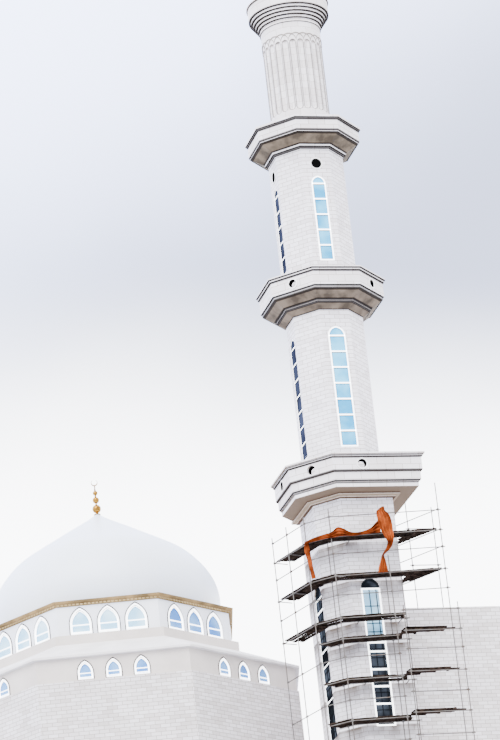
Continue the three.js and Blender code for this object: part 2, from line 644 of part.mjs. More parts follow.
// Plank decks: the two upper ones run round the left, front and right of the minaret, the third
// round the left and front, and the lower ones along the front and out to the right-hand bay.
const deckInner = offsetLine([BACK_LEFT, FRONT_LEFT, FRONT_CORNER, FRONT_RIGHT], INNER);
const onFront = (line, x) => {
  const [p, q] = line.slice(2);
  return [x, p[1] + (x - p[0]) * (q[1] - p[1]) / (q[0] - p[0])];
};
function deckPlan(level) {
  const leftTip = along(outerLine[0], outerLine[1], 0.02);
  const leftBack = along(deckInner[0], deckInner[1], 0.2);
  if (level < 2) {
    return [leftTip, outerLine[1], outerLine[2], outerLine[3], [1.99, -1.12], onFront(deckInner, 1.99),
      deckInner[2], deckInner[1], leftBack];
  }
  if (level === 2) {
    return [leftTip, outerLine[1], outerLine[2], onFront(outerLine, 1.35), onFront(deckInner, 1.35),
      deckInner[2], deckInner[1], leftBack];
  }
  const [start] = offsetLine([FRONT_LEFT, FRONT_CORNER], STEP);
  const [back] = offsetLine([FRONT_LEFT, FRONT_CORNER], INNER);
  return [start, outerLine[2], onFront(outerLine, 1.06), [1.16, -4.04], [3.86, -4.14], [3.55, -3.92],
    [1.45, -3.25], onFront(deckInner, 1.42), deckInner[2], back];
}
DECK_LEVELS.forEach((z, i) => {
  node(`scaffold_deck_${i + 1}`, prism(deckPlan(i), z + GAP / M, z + DECK_THICK), 0x5a4a40);
});

// Loose orange cloth, hung over the guard rail and trailing along the edge of the top deck. Each
// outline is drawn along its side of the scaffold, from the side's left corner.
const FRONT_CLOTH = [[-0.12, 13.16], [0.6, 13.26], [1.15, 13.22], [1.8, 13.28], [2.3, 13.2], [2.76, 13.25],
  [2.89, 12.8], [2.85, 12.5], [2.43, 12.12], [2.18, 11.4], [2.4, 11.3], [2.7, 11.35], [2.66, 12.12],
  [2.98, 12.4], [3.17, 13.0], [3.19, 13.95], [3.02, 14.4], [2.82, 14.7], [2.41, 14.36], [2.5, 13.75],
  [2.05, 13.62], [1.6, 13.45], [0.75, 13.48], [0.59, 13.7], [0.35, 13.75], [0.04, 13.52], [-0.12, 13.5]];
const LEFT_CLOTH = [[-0.1, 12.85], [0.09, 12.06], [0.2, 11.34], [0.43, 11.36], [0.38, 11.8], [0.28, 12.5],
  [0.32, 13.1], [0.9, 13.2], [1.57, 13.16], [1.57, 13.5], [0.92, 13.53], [0.17, 13.4], [0, 13.32]];
function clothPanel(outline, p, q) {
  const turn = Math.atan2(q[1] - p[1], q[0] - p[0]);
  const g = prism(outline, 0, 0.1);
  g.rotateX(Math.PI / 2);
  g.translate(0, -TUBE_HALF * (Math.abs(Math.cos(turn)) + Math.abs(Math.sin(turn))) * M - GAP, 0);
  g.rotateZ(turn);
  g.translate(p[0] * M, p[1] * M, 0);
  return g;
}
node('scaffold_cloth', fused([clothPanel(FRONT_CLOTH, FRONT_CORNER, FRONT_RIGHT),
  clothPanel(LEFT_CLOTH, FRONT_LEFT, FRONT_CORNER)]), 0xc8683a, 0.9);

export default part;
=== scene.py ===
import math
import random
import bmesh
import bpy
from mathutils import Matrix, Vector


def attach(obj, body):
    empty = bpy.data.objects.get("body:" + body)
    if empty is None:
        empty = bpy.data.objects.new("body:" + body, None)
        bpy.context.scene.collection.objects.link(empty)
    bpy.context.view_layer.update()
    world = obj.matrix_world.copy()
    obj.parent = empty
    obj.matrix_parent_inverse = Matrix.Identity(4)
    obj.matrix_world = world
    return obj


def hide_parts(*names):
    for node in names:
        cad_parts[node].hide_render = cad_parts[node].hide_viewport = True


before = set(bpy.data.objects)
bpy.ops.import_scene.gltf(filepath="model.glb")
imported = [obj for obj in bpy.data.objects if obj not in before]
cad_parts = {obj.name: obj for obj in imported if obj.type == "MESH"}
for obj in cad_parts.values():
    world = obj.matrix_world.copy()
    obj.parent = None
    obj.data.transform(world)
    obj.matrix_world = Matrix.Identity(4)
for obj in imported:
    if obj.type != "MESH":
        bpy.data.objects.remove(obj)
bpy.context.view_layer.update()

# Camera: a long lens far below the building and to its left, looking up and slightly rolled, so
# that the minaret leans left. The part is at half of the real size, so real metres are halved.
HALF = 0.5
lens = bpy.data.cameras.new("camera")
lens.lens = 211.2
lens.sensor_width = 36
lens.clip_end = 2000
camera = bpy.data.objects.new("camera", lens)
eye = Matrix.Translation(Vector((-63.87, -202.95, -56.72)) * HALF)
eye = eye @ Matrix.Rotation(math.radians(-16.35), 4, "Z") @ Matrix.Rotation(math.radians(110.8), 4, "X")
camera.matrix_world = eye @ Matrix.Rotation(math.radians(-6.31), 4, "Z")
bpy.context.collection.objects.link(camera)
bpy.context.scene.camera = camera

# Floor: a wide, matt, pale concrete plane under the building. Its underside lets the eye through,
# because the camera stands below the level of the ground.
def tint(code):
    channels = [int(code[i:i + 2], 16) / 255 for i in (0, 2, 4)]
    return tuple(c / 12.92 if c <= 0.04045 else ((c + 0.055) / 1.055) ** 2.4 for c in channels) + (1,)


def add(tree, kind, inputs=None, **settings):
    made = tree.nodes.new(kind)
    for key, value in settings.items():
        setattr(made, key, value)
    for key, value in (inputs or {}).items():
        if isinstance(value, bpy.types.NodeSocket):
            tree.links.new(value, made.inputs[key])
        else:
            made.inputs[key].default_value = value
    return made


def finish_named(name, roughness, metallic=0.0):
    material = bpy.data.materials.new(name)
    material.use_nodes = True
    tree = material.node_tree
    shader = tree.nodes["Principled BSDF"]
    shader.inputs["Roughness"].default_value = roughness
    shader.inputs["Metallic"].default_value = metallic
    return material, tree, shader


floor_finish, tree, shader = finish_named("matt_pale_concrete", 0.9)
shader.inputs["Base Color"].default_value = tint("B4B5B8")
side = add(tree, "ShaderNodeNewGeometry")
clear = add(tree, "ShaderNodeBsdfTransparent")
mix = add(tree, "ShaderNodeMixShader",
          {0: side.outputs["Backfacing"], 1: shader.outputs[0], 2: clear.outputs[0]})
tree.links.new(mix.outputs[0], tree.nodes["Material Output"].inputs["Surface"])
ground = bmesh.new()
bmesh.ops.create_grid(ground, x_segments=1, y_segments=1, size=400)
ground_data = bpy.data.meshes.new("floor")
ground.to_mesh(ground_data)
ground.free()
ground_data.materials.append(floor_finish)
floor = bpy.data.objects.new("floor", ground_data)
floor.location.z = -0.002
bpy.context.collection.objects.link(floor)

# Light: a bright overcast sky and a broad soft sun high on the left. The sky is near white low down
# behind the building, lavender-grey above that, and paler again at the top left.
def ranged(tree, value, start, stop, low=0.0, high=1.0, **settings):
    ends = {"Value": value, "From Min": start, "From Max": stop, "To Min": low, "To Max": high}
    return add(tree, "ShaderNodeMapRange", ends, **settings).outputs[0]


def maths(tree, operation, *values):
    return add(tree, "ShaderNodeMath", dict(enumerate(values)), operation=operation).outputs[0]


def blend(tree, share, first, second):
    return add(tree, "ShaderNodeMix", {0: share, 6: first, 7: second}, data_type="RGBA").outputs[2]


def noise(tree, place, size, detail, warp=0.0):
    inputs = {"Vector": place, "Scale": size, "Detail": detail, "Distortion": warp}
    return add(tree, "ShaderNodeTexNoise", inputs).outputs["Fac"]


world = bpy.data.worlds.new("overcast")
world.use_nodes = True
tree = world.node_tree
place = add(tree, "ShaderNodeTexCoord").outputs["Generated"]
drift = maths(tree, "MULTIPLY", noise(tree, place, 14.0, 2.0), 0.02)
behind = (0.17, 0.19, 0.265, 1)
for slant, start, stop, shade in (((0.099, -0.029, 1.0), 0.389, 0.325, (0.96, 0.97, 1.0, 1)),
                                  ((-0.371, 0.109, 1.0), 0.37, 0.478, (0.55, 0.62, 0.88, 1))):
    across = add(tree, "ShaderNodeVectorMath", {0: place, 1: slant}, operation="DOT_PRODUCT")
    lift = maths(tree, "ADD", across.outputs["Value"], drift)
    behind = blend(tree, ranged(tree, lift, start, stop, interpolation_type="SMOOTHSTEP"), behind, shade)
front = (0.42, 0.42, 0.43, 1)
split = add(tree, "ShaderNodeSeparateXYZ", {0: place})
sky = blend(tree, ranged(tree, split.outputs["Y"], 0.0, 0.5), front, behind)
tree.links.new(sky, tree.nodes["Background"].inputs["Color"])
tree.nodes["Background"].inputs["Strength"].default_value = 10.0
bpy.context.scene.world = world
sun_data = bpy.data.lights.new("soft_sun", "SUN")
sun_data.energy = 4.8
sun_data.angle = math.radians(50)
sun = bpy.data.objects.new("soft_sun", sun_data)
sun.rotation_euler = (math.radians(48), 0, math.radians(-32))
bpy.context.collection.objects.link(sun)


# Coursed limestone: sawn blocks of pale stone in courses 0.22 m high, laid with tight joints. The eye
# gets a fine brickwork of slightly different tones. Faces that look down are painted brown and dark
# as painted shade, streaked with dirt; dark bands at listed heights are painted shadow lines under
# projections, and on round stone a dark band in the hollows inside the rim is painted shade.
def object_place(tree):
    return add(tree, "ShaderNodeTexCoord").outputs["Object"]


def scaled(tree, colour, share):
    return add(tree, "ShaderNodeVectorMath", {0: colour, "Scale": share}, operation="SCALE").outputs[0]


def two_tones(tree, shader, share, first, second):
    tree.links.new(blend(tree, share, tint(first), tint(second)), shader.inputs["Base Color"])


def roughen(tree, shader, height, strength, distance):
    bump = add(tree, "ShaderNodeBump", {"Strength": strength, "Distance": distance, "Height": height})
    tree.links.new(bump.outputs[0], shader.inputs["Normal"])


def stone_finish(name, light, dark, joint, course=0.11, block=0.27, radius=0.0, soffit="978B7F",
                 shade="2E2722", edge="57504A", shadow_line="1E1814", lines=()):
    material, tree, shader = finish_named(name, 0.75)
    shader.inputs["Specular IOR Level"].default_value = 0.1
    place = object_place(tree)
    normal = add(tree, "ShaderNodeNewGeometry").outputs["Normal"]
    x, y, z = add(tree, "ShaderNodeSeparateXYZ", {0: place}).outputs
    if radius:
        along = maths(tree, "MULTIPLY", maths(tree, "ARCTAN2", y, x), radius)
    else:
        side = add(tree, "ShaderNodeVectorMath", {0: (0, 0, 1), 1: normal}, operation="CROSS_PRODUCT")
        side = add(tree, "ShaderNodeVectorMath", {0: side.outputs[0]}, operation="NORMALIZE")
        along = add(tree, "ShaderNodeVectorMath", {0: place, 1: side.outputs[0]}, operation="DOT_PRODUCT")
        along = along.outputs["Value"]
    flat = add(tree, "ShaderNodeCombineXYZ", {0: along, 1: z})
    blocks = add(tree, "ShaderNodeTexBrick", {
        "Vector": flat.outputs[0], "Color1": tint(light), "Color2": tint(dark), "Mortar": tint(joint),
        "Scale": 1.0, "Mortar Size": 0.007, "Mortar Smooth": 0.3, "Bias": -0.2,
        "Brick Width": block, "Row Height": course}, offset=0.5)
    fine = noise(tree, place, 30.0, 5.0)
    weather = ranged(tree, noise(tree, place, 0.9, 3.0), 0.35, 0.75, 1.0, 0.9)
    grain = ranged(tree, fine, 0.3, 0.7, 0.96, 1.03)
    colour = scaled(tree, blocks.outputs["Color"], maths(tree, "MULTIPLY", weather, grain))
    facing = add(tree, "ShaderNodeSeparateXYZ", {0: normal}).outputs["Z"]
    streaks = ranged(tree, noise(tree, place, 2.6, 6.0), 0.38, 0.62, 0.5, 1.35)
    soffit_shade_and_dirt = scaled(tree, tint(soffit)[:3], streaks)
    # Painted shade: faces that look down take the streaked soffit colour, level undersides the shade colour.
    colour = blend(tree, ranged(tree, facing, -0.25, -0.55), colour, soffit_shade_and_dirt)
    colour = blend(tree, ranged(tree, facing, -0.88, -0.96), colour, tint(shade))
    # Painted shade: on round stone a dark band in the hollows just inside the outer radius.
    if radius:
        flat = add(tree, "ShaderNodeCombineXYZ", {0: x, 1: y})
        reach = add(tree, "ShaderNodeVectorMath", {0: flat.outputs[0]}, operation="LENGTH").outputs["Value"]
        inner = ranged(tree, reach, radius - 0.03, radius - 0.008)
        outer = ranged(tree, reach, radius - 0.003, radius - 0.001, 0.75, 0.0)
        colour = blend(tree, maths(tree, "MULTIPLY", inner, outer), colour, tint(edge))
    # Painted shadow lines: dark bands at the listed heights, under the projecting steps.
    for low, high in lines:
        above = ranged(tree, z, (low - 0.01) * HALF, low * HALF)
        below = ranged(tree, z, high * HALF, (high + 0.01) * HALF, 0.92, 0.0)
        colour = blend(tree, maths(tree, "MULTIPLY", above, below), colour, tint(shadow_line))
    tree.links.new(colour, shader.inputs["Base Color"])
    joints = maths(tree, "MULTIPLY", blocks.outputs["Fac"], -0.6)
    roughen(tree, shader, maths(tree, "ADD", fine, joints), 0.35, 0.004)
    return material


def dress(material, *names):
    for name in names:
        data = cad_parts[name].data
        data.materials.clear()
        data.materials.append(material)


# The bands at 26.23 and 15.91 m are painted shadow lines at the foot of the middle and lower balconies.
limestone = stone_finish("sawn_limestone", "F0EDF2", "D6D1D4", "A69C9A",
                         lines=((26.23, 26.29), (15.91, 15.97)))
dress(limestone, "minaret_base_wall", "middle_shaft_wall", "upper_shaft_wall", "passage")
# Painted shade on the balconies and cornice: dark undersides and dark shadow lines at the listed heights.
for name, shade, soffit, lines in (
        ("lower_balcony", "7A6856", "A59380",
         ((17.56, 17.61), (17.46, 17.53), (16.73, 16.83), (16.23, 16.3), (16.15, 16.2))),
        ("middle_balcony", "241D18", "665A4D",
         ((28.08, 28.14), (27.94, 28.02), (27.13, 27.21), (26.98, 27.1), (26.6, 26.69), (26.48, 26.58))),
        ("upper_cornice", "241D18", "665A4B",
         ((36.83, 36.89), (36.75, 36.82), (36.15, 36.25), (36.04, 36.11), (35.67, 35.72), (35.45, 35.58)))):
    dress(stone_finish(name + "_stone", "EAE6E8", "DAD3D2", "ACA29D", course=0.19, block=0.45,
                       soffit=soffit, shade=shade, lines=lines), name)


# Painted shadows on the foot: below each deck the stone is painted darker brown as the deck's shadow.
# The eye gets uneven brown streaks that fade out about a metre under a deck.
def painted_deck_shadows(material, levels, reach, shade):
    tree = material.node_tree
    shader = tree.nodes["Principled BSDF"]
    colour = shader.inputs["Base Color"].links[0].from_socket
    place = object_place(tree)
    z = add(tree, "ShaderNodeSeparateXYZ", {0: place}).outputs["Z"]
    stretched_place = add(tree, "ShaderNodeVectorMath", {0: place, 1: (1.0, 1.0, 0.25)}, operation="MULTIPLY")
    patch = ranged(tree, noise(tree, stretched_place.outputs[0], 2.2, 5.0), 0.35, 0.62, 0.4, 1.0)
    for level in levels:
        fade = ranged(tree, z, (level - reach) * HALF, level * HALF)
        over = ranged(tree, z, level * HALF, (level + 0.04) * HALF, 1.0, 0.0)
        share = maths(tree, "MULTIPLY", maths(tree, "MULTIPLY", fade, over), patch)
        colour = blend(tree, share, colour, tint(shade))
    tree.links.new(colour, shader.inputs["Base Color"])


DECKS = [13.35, 11.25, 9.0, 7.9, 5.75, 3.6]
# Painted shadow below each deck, on the foot's limestone.
painted_deck_shadows(limestone, DECKS, 0.95, "4E4238")

# Wing and hall walls: the same limestone in smaller, split-faced blocks, a little darker and rougher
# to the eye, laid as a plain bonded wall.
wing_stone = stone_finish("split_faced_limestone", "DEDADC", "C0B9B7", "968C86", course=0.1, block=0.26)
dress(wing_stone, "wing_walls", "hall_stone_wall")


# Cast and rendered surfaces: concrete floors and the wing's flat roof, painted plaster on the hall's
# upper wall and drum, and a screed on the hall's roof. All are matt and slightly blotched.
def cast_finish(name, light, dark, size):
    material, tree, shader = finish_named(name, 0.85)
    patches = noise(tree, object_place(tree), size, 6.0)
    two_tones(tree, shader, ranged(tree, patches, 0.35, 0.65), light, dark)
    roughen(tree, shader, patches, 0.2, 0.003)
    return material


concrete = cast_finish("cast_concrete", "C4BFB8", "A9A39B", 3.0)
dress(concrete, "minaret_floor", "hall_floor", "wing_floor", "wing_roof")
plaster = cast_finish("painted_lime_plaster", "D0C8C2", "C2BAB4", 1.2)
dress(plaster, "hall_window_wall", "drum_upstand")
white_plaster = cast_finish("white_painted_plaster", "EEF1F8", "DFE3EC", 1.0)
dress(white_plaster, "drum_wall")
roof_render = cast_finish("pale_roof_screed", "E2DFDF", "D4D0D0", 1.5)
dress(roof_render, "hall_roof")


# Shaft windows: white painted aluminium frames with a pointed head and glazing bars, and float glass,
# screwed into the opening almost flush with the stone. The frames' finish gives off light, as real
# paint doesn't, so that they stay whiter than the sunlit stone. In dim light that has to be 0. The
# panes are blue glass with a painted sky reflection, and on the left face dark slate as painted shade;
# dark strips under the bars and along each pane's left edge are painted shadows of the bars.
LOW_POINT = 0.56


def arch(width, foot, tip, steps=8, ratio=LOW_POINT):
    half = width / 2
    rise = width * ratio
    spring = tip - rise
    radius = (half * half + rise * rise) / width
    top = math.asin(rise / radius)
    right = [(half - radius + radius * math.cos(top * i / steps), spring + radius * math.sin(top * i / steps))
             for i in range(steps + 1)]
    left = [(-x, y) for x, y in reversed(right[:-1])]
    return [(-half, foot), (half, foot)] + right + left if foot < spring - 1e-6 else right + left


def wall_place(turn, distance, along=0.0, x=0.0, y=0.0):
    return (Matrix.Translation((x, y, 0)) @ Matrix.Rotation(math.radians(turn + 90), 4, "Z")
            @ Matrix.Rotation(math.radians(90), 4, "X") @ Matrix.Translation((along, 0, distance)))


def sheet_of(outline, level=0.0):
    mesh = bmesh.new()
    seen = []
    for x, y in outline:
        if not seen or (abs(seen[-1][0] - x) + abs(seen[-1][1] - y)) > 1e-5:
            seen.append((x, y))
    if abs(seen[0][0] - seen[-1][0]) + abs(seen[0][1] - seen[-1][1]) < 1e-5:
        seen.pop()
    mesh.faces.new([mesh.verts.new((x, y, level)) for x, y in seen])
    mesh.normal_update()
    return mesh


def slab(mesh, size, centre, index=0):
    place = Matrix.Translation(centre) @ Matrix.Diagonal((*size, 1))
    made = bmesh.ops.create_cube(mesh, size=1.0, matrix=place)
    for face in {f for v in made["verts"] for f in v.link_faces}:
        face.material_index = index


def put(target, source, place=Matrix.Identity(4)):
    source.transform(place)
    data = bpy.data.meshes.new("part")
    source.to_mesh(data)
    source.free()
    target.from_mesh(data)
    bpy.data.meshes.remove(data)


def raise_faces(mesh, faces, depth):
    out = bmesh.ops.extrude_face_region(mesh, geom=faces)
    verts = [v for v in out["geom"] if isinstance(v, bmesh.types.BMVert)]
    bmesh.ops.translate(mesh, verts=verts, vec=(0, 0, depth))


def inset(mesh, border):
    return bmesh.ops.inset_region(mesh, faces=mesh.faces[:], thickness=border, use_even_offset=True,
                                  use_boundary=True)["faces"]


def window(outline, border, depth, bars, pane_index=1):
    mesh = sheet_of(outline)
    ring = inset(mesh, border)
    for face in mesh.faces:
        if face not in ring:
            face.material_index = pane_index
    raise_faces(mesh, ring, depth)
    for size, centre, index in bars:
        slab(mesh, size, centre, index)
    return mesh


def piece(name, mesh, materials, replaced=(), smooth=False):
    bmesh.ops.scale(mesh, vec=(HALF, HALF, HALF), verts=mesh.verts)
    bmesh.ops.remove_doubles(mesh, verts=mesh.verts, dist=1e-5)
    bmesh.ops.recalc_face_normals(mesh, faces=mesh.faces)
    data = bpy.data.meshes.new(name)
    for face in mesh.faces:
        face.smooth = smooth
    mesh.to_mesh(data)
    mesh.free()
    for material in materials:
        data.materials.append(material)
    made = bpy.data.objects.new(name, data)
    bpy.context.collection.objects.link(made)
    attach(made, "root")
    if replaced:
        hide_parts(*replaced)
    return made


def paint_finish(name, code, roughness, shine=0.5, glow=0.0):
    material, tree, shader = finish_named(name, roughness)
    shader.inputs["Specular IOR Level"].default_value = shine
    shader.inputs["Emission Color"].default_value = tint(code)
    shader.inputs["Emission Strength"].default_value = glow
    dust = ranged(tree, noise(tree, object_place(tree), 6.0, 4.0), 0.3, 0.7, 1.0, 0.92)
    tree.links.new(scaled(tree, tint(code)[:3], dust), shader.inputs["Base Color"])
    return material


# Panes are opaque and their colour is painted reflection: the copies made below are one float glass painted
# lighter or darker by face and height, the dark ones as painted shade.
def glass_finish(name, deep, pale, size, shine):
    material, tree, shader = finish_named(name, 0.08)
    shader.inputs["Specular IOR Level"].default_value = shine
    reflection_patches = noise(tree, object_place(tree), size, 2.0)
    two_tones(tree, shader, ranged(tree, reflection_patches, 0.4, 0.62), deep, pale)
    return material


# Painted light: the white frame finish glows with FRAME_GLOW, though the frames are no lamp.
FRAME_GLOW = 5.0
white_frame = paint_finish("glowing_white_powder_coated_aluminium", "F8FAFC", 0.4, glow=FRAME_GLOW)
# Painted shadow: dark strips under the glazing bars and along the panes' left edge stand for the bars'
# shadows.
bar_shadow = paint_finish("painted_bar_shadow", "3A3836", 0.7, 0.0)
sky_glass = glass_finish("blue_float_glass", "1494C8", "5ABEE8", 1.6, 0.25)
shaded_side_glass = glass_finish("float_glass_painted_shade", "1E2230", "343A4C", 1.1, 0.0)
dark_room_glass = glass_finish("float_glass_painted_dark_room", "121418", "3A4048", 1.9, 0.0)
sky_mirror_glass = glass_finish("float_glass_painted_sky_reflection", "8CC4E4", "C0E4F6", 1.4, 0.3)
grille = paint_finish("dark_bronze_grille", "181B1E", 0.5, 0.0)


def tower_window(width, foot, tip, panes, shade):
    spring = tip - width * LOW_POINT
    step = (spring - foot) / panes
    rail, border, depth = (0.04, 0.04, 0.02) if shade == 2 else (0.07, 0.07, 0.05)
    shadow_wide, shadow_deep, shadow_level = 0.02, 0.012, 0.008
    bars = []
    for i in range(1, panes + 1):
        level = foot + step * i
        bars.append(((width - border, rail, depth), (0, level, depth / 2), 0))
        # Painted shadow: a dark strip just under each bar.
        bars.append(((width - 0.15, shadow_wide * 1.5, shadow_deep), (0, level - 0.05, shadow_level), 3))
    side, middle = 0.085 - width / 2, (spring + foot) / 2
    # Painted shadow: a dark strip along the pane's left edge.
    bars.append(((shadow_wide, spring - foot - 0.08, shadow_deep), (side, middle, shadow_level), 3))
    return window(arch(width, foot, tip), border, depth, bars, shade)


PLAY = 0.002
for label, half, width, foot, tip, panes in (("middle", 1.89, 0.93, 18.6, 25.3, 7),
                                             ("upper", 1.847, 0.78, 29.05, 33.9, 5)):
    mesh = bmesh.new()
    for turn in (-90, 0, 90, 180):
        # Painted shade: the left face's panes take the dark slate copy of the glass.
        shade = 2 if turn == 180 else 1
        frame_mesh = tower_window(width - 2 * PLAY, foot + PLAY, tip - PLAY, panes, shade)
        put(mesh, frame_mesh, wall_place(turn, half - 0.04))
    piece(label + "_shaft_windows", mesh, (white_frame, sky_glass, shaded_side_glass, bar_shadow),
          (label + "_shaft_glazing",))

# Moulding under the lower balcony: two thin beige bed stones, bedded in mortar, that step out from
# the foot wall and carry the balcony's first slab.
# Painted shade: the bed stones' undersides and the dark lines at 15.74 and 15.9 m.
bed_stone = stone_finish("bed_moulding_stone", "D6C7B6", "CAB9A7", "9C8B79", soffit="B09E89", shade="A8957F",
                         shadow_line="4A3426", lines=((15.74, 15.77), (15.9, 15.955)))
FOOT_SIDE, FOOT_LEFT, FOOT_CUT = 1.94, 2.0, 1.146


def foot_plan(out):
    side, left, cut = FOOT_SIDE + out, FOOT_LEFT + out, FOOT_CUT + 0.586 * out
    return [(side, -side), (side, side), (-left, side), (-left, cut - side), (cut - left, -side)]


mesh = bmesh.new()
for low, high, out in ((15.84, 15.955, 0.34), (15.74, 15.84, 0.14)):
    outer, inner = foot_plan(out), foot_plan(PLAY)
    rim = [[mesh.verts.new((x, y, z)) for x, y in plan]
           for plan, z in ((inner, low), (outer, low), (outer, high), (inner, high))]
    for i in range(5):
        k = (i + 1) % 5
        for a, b in zip(rim, rim[1:] + rim[:1]):
            mesh.faces.new((a[i], a[k], b[k], b[i]))
piece("lower_balcony_bed_moulding", mesh, (bed_stone,))

# Windows of the minaret's foot: taller, with heavier white rails and a dark bronze grille of thin
# bars in front of the panes. The frames glow like the shaft windows'. Between 8.3 m and the head the
# panes are a painted sky reflection; below that, in the head and in the whole left window they are a
# painted dark room, painted shade.
SILL, ROOM_TOP = 3.542, 8.3
for label, turn, distance, along, width, tip, levels in (
        ("front", -90, FOOT_SIDE, 0.18, 1.026, 11.418, (10.88, 8.0, 7.5, 6.55, 5.65, 4.73)),
        ("left", 180, FOOT_LEFT, -0.26, 1.396, 11.778, (11.1, 10.4, 8.3, 7.5, 6.55, 5.65))):
    mesh = bmesh.new()
    spring = levels[0]
    border, depth, rail = (0.05, 0.03, 0.05) if turn == 180 else (0.09, 0.07, 0.08)
    bars = [((width - border, rail * 1.5 if i < 2 else rail, depth * 0.9), (0, level, depth * 0.45), 0)
            for i, level in enumerate(levels)]
    bars += [((0.035, spring - SILL, 0.03), (x, (spring + SILL) / 2, 0.02), 2) for x in (-0.06, 0.3)]
    rods = [level for level in (3.95 + 0.46 * i for i in range(14)) if level < spring]
    bars += [((width - 0.1, 0.03, 0.03), (0, level, 0.02), 2) for level in rods]
    whole = window(arch(width, SILL, tip), border, depth, bars)
    for level in (ROOM_TOP, spring):
        bmesh.ops.bisect_plane(whole, geom=whole.verts[:] + whole.edges[:] + whole.faces[:],
                               plane_co=(0, level, 0), plane_no=(0, 1, 0))
    for face in whole.faces:
        level = face.calc_center_median().y
        # Painted reflection and shade: pale panes only between 8.3 m and the spring, dark panes elsewhere.
        if face.material_index == 1 and (level < ROOM_TOP or level > spring or turn == 180):
            face.material_index = 3
        elif face.material_index == 0 and level > spring:
            face.material_index = 2
    put(mesh, whole, wall_place(turn, distance - 0.1, along))
    piece("base_" + label + "_window_frame", mesh, (white_frame, sky_mirror_glass, grille, dark_room_glass),
          ("base_" + label + "_window",))

# Hall and drum windows: three to a face, each a white frame of two panes in a raised white surround,
# with a dark ring round the surround that is a painted shadow gap. The frames and surrounds glow, as
# the shaft windows' frames do.
HALL_TURN, HALL_X, HALL_Y = -103.5, -10.09, 12.61
mid_reflection_glass = glass_finish("float_glass_painted_mid_reflection", "3F74B8", "6C9CCF", 1.2, 0.15)
shadow_gap_paint = paint_finish("painted_shadow_gap", "3C3836", 0.8, 0.0)
HIGH_POINT = 0.78
JOINT_WIDE = 0.05


def hall_window(width, foot, tip, shade):
    rail = width * 0.055
    bars = [((width - 0.06, rail, 0.04), (0, level, 0.02), 0)
            for level in (tip - width * HIGH_POINT - 0.02, foot + 0.1)]
    return window(arch(width, foot, tip, ratio=HIGH_POINT), 0.042, 0.04, bars, shade)


def surround(width, foot, tip, border, proud):
    mesh = sheet_of(arch(width + 2 * border, foot - 0.01, tip + border * 1.7, ratio=HIGH_POINT))
    ring = inset(mesh, border)
    bmesh.ops.delete(mesh, geom=[f for f in mesh.faces if f not in ring], context="FACES")
    raise_faces(mesh, mesh.faces[:], proud)
    return mesh


for label, half, width, foot, tip in (("drum", 6.4, 0.98, 11.58, 12.86), ("hall", 9.5, 0.68, 8.18, 9.05)):
    panes = bmesh.new()
    rims = bmesh.new()
    joints = bmesh.new()
    border = width * 0.075
    for face in range(8):
        turn = HALL_TURN + 45 * face
        # Painted reflection: the hall and one drum face take the mid-blue copy, the other drum faces the pale
        # one.
        shade = 2 if face == 1 or label == "hall" else 1
        for along in (-1.45, 0, 1.45):
            place = wall_place(turn, half - 0.05, along, HALL_X, HALL_Y)
            put(panes, hall_window(width, foot, tip, shade), place)
            place = wall_place(turn, half - 0.01, along, HALL_X, HALL_Y)
            put(rims, surround(width, foot, tip, border, 0.05), place)
            # Painted shadow: a dark ring round each surround.
            joint = surround(width + 2 * border, foot, tip + border * 1.7, JOINT_WIDE, 0.035)
            put(joints, joint, place)
    piece(label + "_windows", panes, (white_frame, sky_mirror_glass, mid_reflection_glass), (label + "_glazing",))
    piece(label + "_window_surrounds", rims, (white_frame,))
    piece(label + "_window_joints", joints, (shadow_gap_paint,))

# Trim of the round holes in the parapets and over the upper windows: a white stone ring on the
# face, and either a near-black lining in the bore or, over the windows, a near-black screen. Lining
# and screen are painted shade: they stand for the shade inside the holes.
ring_stone = stone_finish("white_limestone_trim", "F8F6F5", "F2F0EE", "E6E2DF")
lining = paint_finish("painted_shade_bore_lining", "080808", 0.8, 0.0)


def turned(profile, steps, centre=(0.0, 0.0), merge=1e-4):
    mesh = bmesh.new()
    rim = [mesh.verts.new((centre[0] + r, centre[1], z)) for r, z in profile]
    edges = [mesh.edges.new(pair) for pair in zip(rim, rim[1:])]
    bmesh.ops.spin(mesh, geom=rim + edges, cent=(*centre, 0), axis=(0, 0, 1), angle=math.tau, steps=steps,
                   use_merge=True)
    if merge:
        bmesh.ops.remove_doubles(mesh, verts=mesh.verts, dist=merge)
    return mesh


def hole_trim(rings, bores, place, radius, depth, screen=False):
    inner = radius + 0.03 if screen else radius - 0.012
    rim = [(inner, 0.0), (inner, 0.02), (inner + 0.08, 0.02), (inner + 0.08, 0.0)]
    put(rings, turned(rim, 32, merge=None), place)
    if screen:
        profile = [(0.001, 0.0), (0.001, 0.006), (inner + 0.002, 0.006), (inner + 0.002, 0.0)]
    else:
        profile = [(inner, 0.004), (inner - 0.055, -depth), (radius - 0.002, -depth), (radius - 0.002, 0.0),
                   (inner, 0.004)]
    put(bores, turned(profile, 32, merge=None), place)


LOWER_HOLES = [(-90, 3.3, 0.1), (-135, 3.24, 0), (180, 3.3, 0), (135, 3.24, 0), (90, 3.3, -0.1),
               (0, 3.3, -1.7), (0, 3.3, 1.7)]
for label, level, radius, depth, holes in (
        ("lower", 17.145, 0.25, 0.24, LOWER_HOLES),
        ("middle", 27.6, 0.23, 0.24, [(turn, 3.05, 0) for turn in (-135, -45, 45, 135)]),
        ("oculus", 34.62, 0.25, 0.12, [(turn, 1.847, 0) for turn in (-90, 0, 90, 180)])):
    rings = bmesh.new()
    bores = bmesh.new()
    for hole in holes:
        place = wall_place(*hole) @ Matrix.Translation((0, level, 0))
        hole_trim(rings, bores, place, radius, depth, label == "oculus")
    piece(label + "_hole_rings", rings, (ring_stone,))
    piece(label + "_hole_linings", bores, (lining,))


